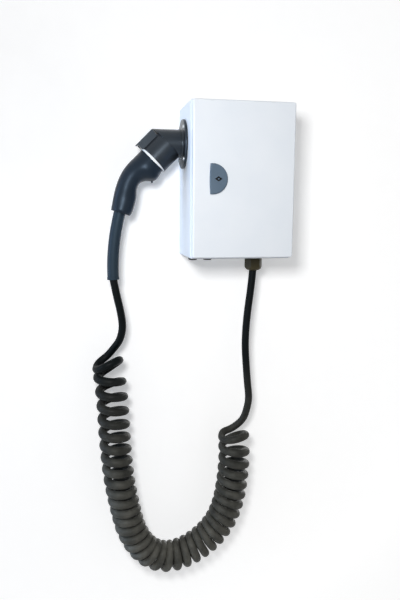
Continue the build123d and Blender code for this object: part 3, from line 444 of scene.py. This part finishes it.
axis = bpy.data.objects.new("coil_axis", nurbs_curve("coil_axis", hang(COIL_ROUTE)))
axis.data.resolution_u = 24
axis_mesh = bpy.data.meshes.new_from_object(axis)
axis_line = [v.co.copy() for v in axis_mesh.vertices]
bpy.data.meshes.remove(axis_mesh)
bpy.data.curves.remove(axis.data)

lower_run, upper_run = hang(LOWER_ROUTE), hang(UPPER_ROUTE)
for behind, low_point, high_point in zip(JOIN_BEHIND, reversed(lower_run), upper_run):
    low_point.y += behind
    high_point.y += behind
cable = nurbs_curve("charging_cable", lower_run + spiral(axis_line) + upper_run)
wound = cable.splines[0].points[len(lower_run) : -len(upper_run)]
for i, control in enumerate(wound):
    inside = math.cos(2 * math.pi * (i - ROUND_THE_BACK) / POINTS_A_TURN)
    from_end = min(i, len(wound) - 1 - i) / POINTS_A_TURN
    control.radius = 1 + WOUND_SWELLS * (1 - max(0.0, inside)) * min(1.0, from_end)
cable.bevel_depth = CABLE_D / 2
cable.bevel_resolution = 6
cable.resolution_u = 4
cable.use_fill_caps = True
charging_cable = bpy.data.objects.new("charging_cable", cable)
bpy.context.scene.collection.objects.link(charging_cable)
# the sheath is deep black and dull, and its low turns are paler and greyer, partly from dust and partly from
# a painted sheen
sheath = surface(
    "black_polyurethane_sheath", ("#020608", "#050a0c"), (0.42, 0.54), grain_mm=1.4, depth_mm=0.02,
    clouds_mm=14, specular_ior_level=0.08,
)
# the heights in metres where the dust and painted sheen start and are thickest, their share there, and the
# size of their patches
DUST_AND_SHEEN_STARTS, DUST_AND_SHEEN_FULL = -0.37, -0.80
DUST_AND_SHEEN_MOST = 1.2
DUST_AND_SHEEN_PATCH_MM = 22
DUST_AND_SHEEN_COLOUR = "#6e6d66"
shader = sheath.node_tree.nodes["Principled BSDF"]
place = add_node(sheath, "ShaderNodeTexCoord").outputs["Object"]
height = add_node(sheath, "ShaderNodeSeparateXYZ", [(place, 0)]).outputs["Z"]
low = add_node(
    sheath, "ShaderNodeMapRange", [(height, "Value")], from_min=DUST_AND_SHEEN_STARTS, from_max=DUST_AND_SHEEN_FULL,
    to_max=DUST_AND_SHEEN_MOST,
)
patches = add_node(sheath, "ShaderNodeTexNoise", [(place, 0)], scale=per_metre(DUST_AND_SHEEN_PATCH_MM), detail=5.0)
dust_and_sheen_share = add_node(
    sheath, "ShaderNodeMath", [(low.outputs[0], 0), (patches.outputs[0], 1)], operation="MULTIPLY",
    use_clamp=True,
)
# the low turns are painted paler: dust, together with a painted sheen that stands in for their gloss
clean_colour = shader.inputs["Base Color"].links[0].from_socket
dust_and_sheen_mix = add_node(sheath, "ShaderNodeMix", [(dust_and_sheen_share.outputs[0], 0), (clean_colour, 6)], data_type="RGBA")
dust_and_sheen_mix.inputs[7].default_value = linear(DUST_AND_SHEEN_COLOUR)
sheath.node_tree.links.new(dust_and_sheen_mix.outputs[2], shader.inputs["Base Color"])
cable.materials.append(sheath)
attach(charging_cable, "root")
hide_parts("cable_lower", "cable_coil", "cable_upper")
dress(sheath, "cable_entry")
# the kink sleeve is moulded rubber of the handle's blue black, duller than the handle
sleeve_rubber = surface(
    "blue_black_rubber", ("#1b262e", "#222d36"), (0.48, 0.60), grain_mm=1.2, depth_mm=0.03, edge_mm=1.0,
    specular_ior_level=0.35, specular_tint=linear("#b9d3ee"),
)
dress(sleeve_rubber, "kink_sleeve")


# Studio: a pale wall that the box hangs on, a pale floor well below it, and a white world round them.
# Wall and floor are seen by the camera and in reflections only, so that a lamp behind them lights the back.
WALL_GAP = 0.5 * MM
FLOOR_Z = -1.25
STAGE_HALF = 6.0


def seen_rays(owner):
    """A socket that is 1 for what the camera sees, also in a reflection or through something clear."""
    rays = add_node(owner, "ShaderNodeLightPath").outputs
    seen = rays["Is Camera Ray"]
    for kind in ("Is Glossy Ray", "Is Transmission Ray"):
        seen = add_node(owner, "ShaderNodeMath", [(seen, 0), (rays[kind], 1)], operation="MAXIMUM").outputs[0]
    return seen


def stage_plane(name, corners):
    """A flat piece of the set, which is no part of the object."""
    mesh = bpy.data.meshes.new(name)
    mesh.from_pydata(corners, [], [(0, 1, 2, 3)])
    plane = bpy.data.objects.new(name, mesh)
    bpy.context.scene.collection.objects.link(plane)
    return plane


wall = stage_plane("wall", [
    (-STAGE_HALF, WALL_GAP, FLOOR_Z), (STAGE_HALF, WALL_GAP, FLOOR_Z),
    (STAGE_HALF, WALL_GAP, STAGE_HALF), (-STAGE_HALF, WALL_GAP, STAGE_HALF),
])
floor = stage_plane("floor", [
    (-STAGE_HALF, -STAGE_HALF, FLOOR_Z), (STAGE_HALF, -STAGE_HALF, FLOOR_Z),
    (STAGE_HALF, STAGE_HALF, FLOOR_Z), (-STAGE_HALF, STAGE_HALF, FLOOR_Z),
])
# a painted wall without gloss
plaster = surface("white_plaster", ("#fbfbfb", "#fdfdfd"), (0.88, 0.94), grain_mm=3.0, depth_mm=0.02)
shader = plaster.node_tree.nodes["Principled BSDF"]
shader.inputs["Specular IOR Level"].default_value = 0.0
behind = add_node(plaster, "ShaderNodeNewGeometry").outputs["Backfacing"]
shown = add_node(
    plaster, "ShaderNodeMath", [(seen_rays(plaster), 0), (behind, 1)], operation="GREATER_THAN"
)
# the wall glows by as much as the near key lamp falls short away from its foot, so that it stays white
KEY_PLACE = (-0.44, -1.2, 0.16)
# distances from the foot, and how strongly the wall glows there
GLOW_NEAR, GLOW_FAR = (0.1, 0.06), (1.3, 0.54)
place = add_node(plaster, "ShaderNodeTexCoord").outputs["Object"]
from_foot = add_node(plaster, "ShaderNodeVectorMath", [(place, 0)], operation="DISTANCE")
from_foot.inputs[1].default_value = (KEY_PLACE[0], 0.0, KEY_PLACE[2])
glow_strength = add_node(
    plaster, "ShaderNodeMapRange", [(from_foot.outputs["Value"], "Value")], from_min=GLOW_NEAR[0],
    from_max=GLOW_FAR[0], to_min=GLOW_NEAR[1], to_max=GLOW_FAR[1],
)
glow = add_node(plaster, "ShaderNodeEmission", [(glow_strength.outputs[0], "Strength")])
lit = add_node(plaster, "ShaderNodeAddShader", [(shader.outputs[0], 0), (glow.outputs[0], 1)])
clear = add_node(plaster, "ShaderNodeBsdfTransparent")
mixed = add_node(
    plaster, "ShaderNodeMixShader", [(shown.outputs[0], 0), (clear.outputs[0], 1), (lit.outputs[0], 2)]
)
plaster_end = plaster.node_tree.nodes["Material Output"]
plaster.node_tree.links.new(mixed.outputs[0], plaster_end.inputs["Surface"])
wall.data.materials.append(plaster)
floor.data.materials.append(plaster)

# the world lights the object softly, and is white to the camera and in reflections
WORLD_LIGHTS, WORLD_SHOWS = 0.28, 1.0
world = bpy.data.worlds.new("studio")
world.use_nodes = True
background = world.node_tree.nodes["Background"]
background.inputs["Color"].default_value = linear("#ffffff")
strength = add_node(
    world, "ShaderNodeMapRange", [(seen_rays(world), "Value")], to_min=WORLD_LIGHTS, to_max=WORLD_SHOWS
)
world.node_tree.links.new(strength.outputs[0], background.inputs["Strength"])
bpy.context.scene.world = world

# a key lamp near the camera, a blue one off the left side, and one behind for the back and the right side
LAMPS_AIM_AT = Vector((0, 0, -0.2))
for name, place, width, watts, colour in (
    ("key", KEY_PLACE, 0.22, 10.1, "#ffffff"),
    ("side", (-2.3, 0.2, -0.1), 1.4, 38.0, "#c0dcff"),
    ("rear", (1.3, 2.2, -0.4), 1.0, 42.0, "#ffffff"),
):
    lamp = bpy.data.lights.new(name, "AREA")
    lamp.size = width
    lamp.energy = watts
    lamp.color = linear(colour)[:3]
    stand = bpy.data.objects.new(name, lamp)
    stand.location = place
    stand.rotation_euler = (LAMPS_AIM_AT - Vector(place)).to_track_quat("-Z", "Y").to_euler()
    bpy.context.scene.collection.objects.link(stand)

# the camera stands to the left of the box and a little below its middle, and looks down along the cable
PHOTO_HEIGHT_PX = 600
FOCAL_PX = 604.4
SENSOR_MM = 36.0
CAMERA_PLACE = (-0.3089, -1.3049, -0.0581)
# degrees
TURNED_RIGHT, LOOKS_DOWN, ROLLED = 11.01, 8.401, 0.348
camera = bpy.data.cameras.new("camera")
camera.sensor_width = SENSOR_MM
camera.lens = FOCAL_PX / PHOTO_HEIGHT_PX * SENSOR_MM
viewer = bpy.data.objects.new("camera", camera)
viewer.location = CAMERA_PLACE
turn = Matrix.Rotation(math.radians(-TURNED_RIGHT), 3, "Z")
turn = turn @ Matrix.Rotation(math.radians(90 - LOOKS_DOWN), 3, "X")
turn = turn @ Matrix.Rotation(math.radians(ROLLED), 3, "Z")
viewer.rotation_euler = turn.to_euler()
bpy.context.scene.collection.objects.link(viewer)
bpy.context.scene.camera = viewer
bpy.context.scene.view_settings.view_transform = "Standard"
